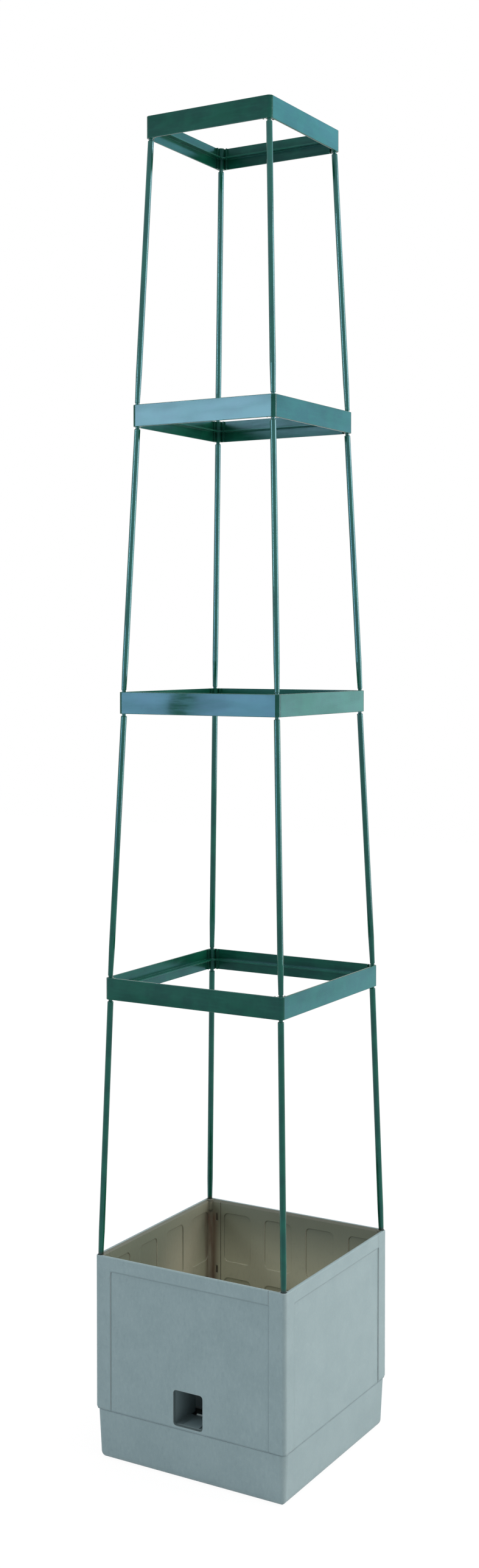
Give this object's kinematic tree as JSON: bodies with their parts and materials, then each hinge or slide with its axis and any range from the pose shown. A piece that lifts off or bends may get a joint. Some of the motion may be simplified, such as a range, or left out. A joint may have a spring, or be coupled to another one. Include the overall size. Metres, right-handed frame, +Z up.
{
  "type": "self-watering planter with tomato tower",
  "caption": "Square self-watering planter of snap-together wall panels on a water tray, carrying a tapering tower of square rings and push-fit stakes that supports a tomato plant.",
  "frame": {"origin": "on the ground, under the middle of the planter", "axes": "+Z up the tower, -Y out of the face with the fill window, +X to the right of that face"},
  "size_m": [0.25, 0.25, 1.5376],
  "materials": {
    "planter_plastic": "satin grey-blue moulding",
    "inner_plastic": "satin dark grey moulding",
    "tower_plastic": "glossy dark green moulding"
  },
  "bodies": {
    "planter": {"base_tray": "planter_plastic", "panel_front": "planter_plastic", "panel_right": "planter_plastic", "panel_back": "planter_plastic", "panel_left": "planter_plastic"},
    "platform": {"soil_platform": "inner_plastic", "fill_chute": "inner_plastic", "wick_cup_back_right": "inner_plastic", "wick_cup_back_left": "inner_plastic", "wick_cup_front_left": "inner_plastic", "wick_cup_front_right": "inner_plastic"},
    "tier_1": {"stake_1_back_right": "tower_plastic", "stake_1_back_left": "tower_plastic", "stake_1_front_left": "tower_plastic", "stake_1_front_right": "tower_plastic", "ring_1": "tower_plastic"},
    "tier_2": {"stake_2_back_right": "tower_plastic", "stake_2_back_left": "tower_plastic", "stake_2_front_left": "tower_plastic", "stake_2_front_right": "tower_plastic", "ring_2": "tower_plastic"},
    "tier_3": {"stake_3_back_right": "tower_plastic", "stake_3_back_left": "tower_plastic", "stake_3_front_left": "tower_plastic", "stake_3_front_right": "tower_plastic", "ring_3": "tower_plastic"},
    "tier_4": {"stake_4_back_right": "tower_plastic", "stake_4_back_left": "tower_plastic", "stake_4_front_left": "tower_plastic", "stake_4_front_right": "tower_plastic", "ring_4": "tower_plastic"}
  },
  "joints": [
    {"name": "platform_lift", "type": "slide", "parent": "planter", "child": "platform", "axis": [0, 0, 1], "range_m": [0, 0.24]},
    {"name": "tier_1_lift", "type": "slide", "parent": "planter", "child": "tier_1", "axis": [0, 0, 1], "range_m": [0, 0.04]},
    {"name": "tier_2_lift", "type": "slide", "parent": "tier_1", "child": "tier_2", "axis": [0, 0, 1], "range_m": [0, 0.04]},
    {"name": "tier_3_lift", "type": "slide", "parent": "tier_2", "child": "tier_3", "axis": [0, 0, 1], "range_m": [0, 0.04]},
    {"name": "tier_4_lift", "type": "slide", "parent": "tier_3", "child": "tier_4", "axis": [0, 0, 1], "range_m": [0, 0.04]}
  ]
}
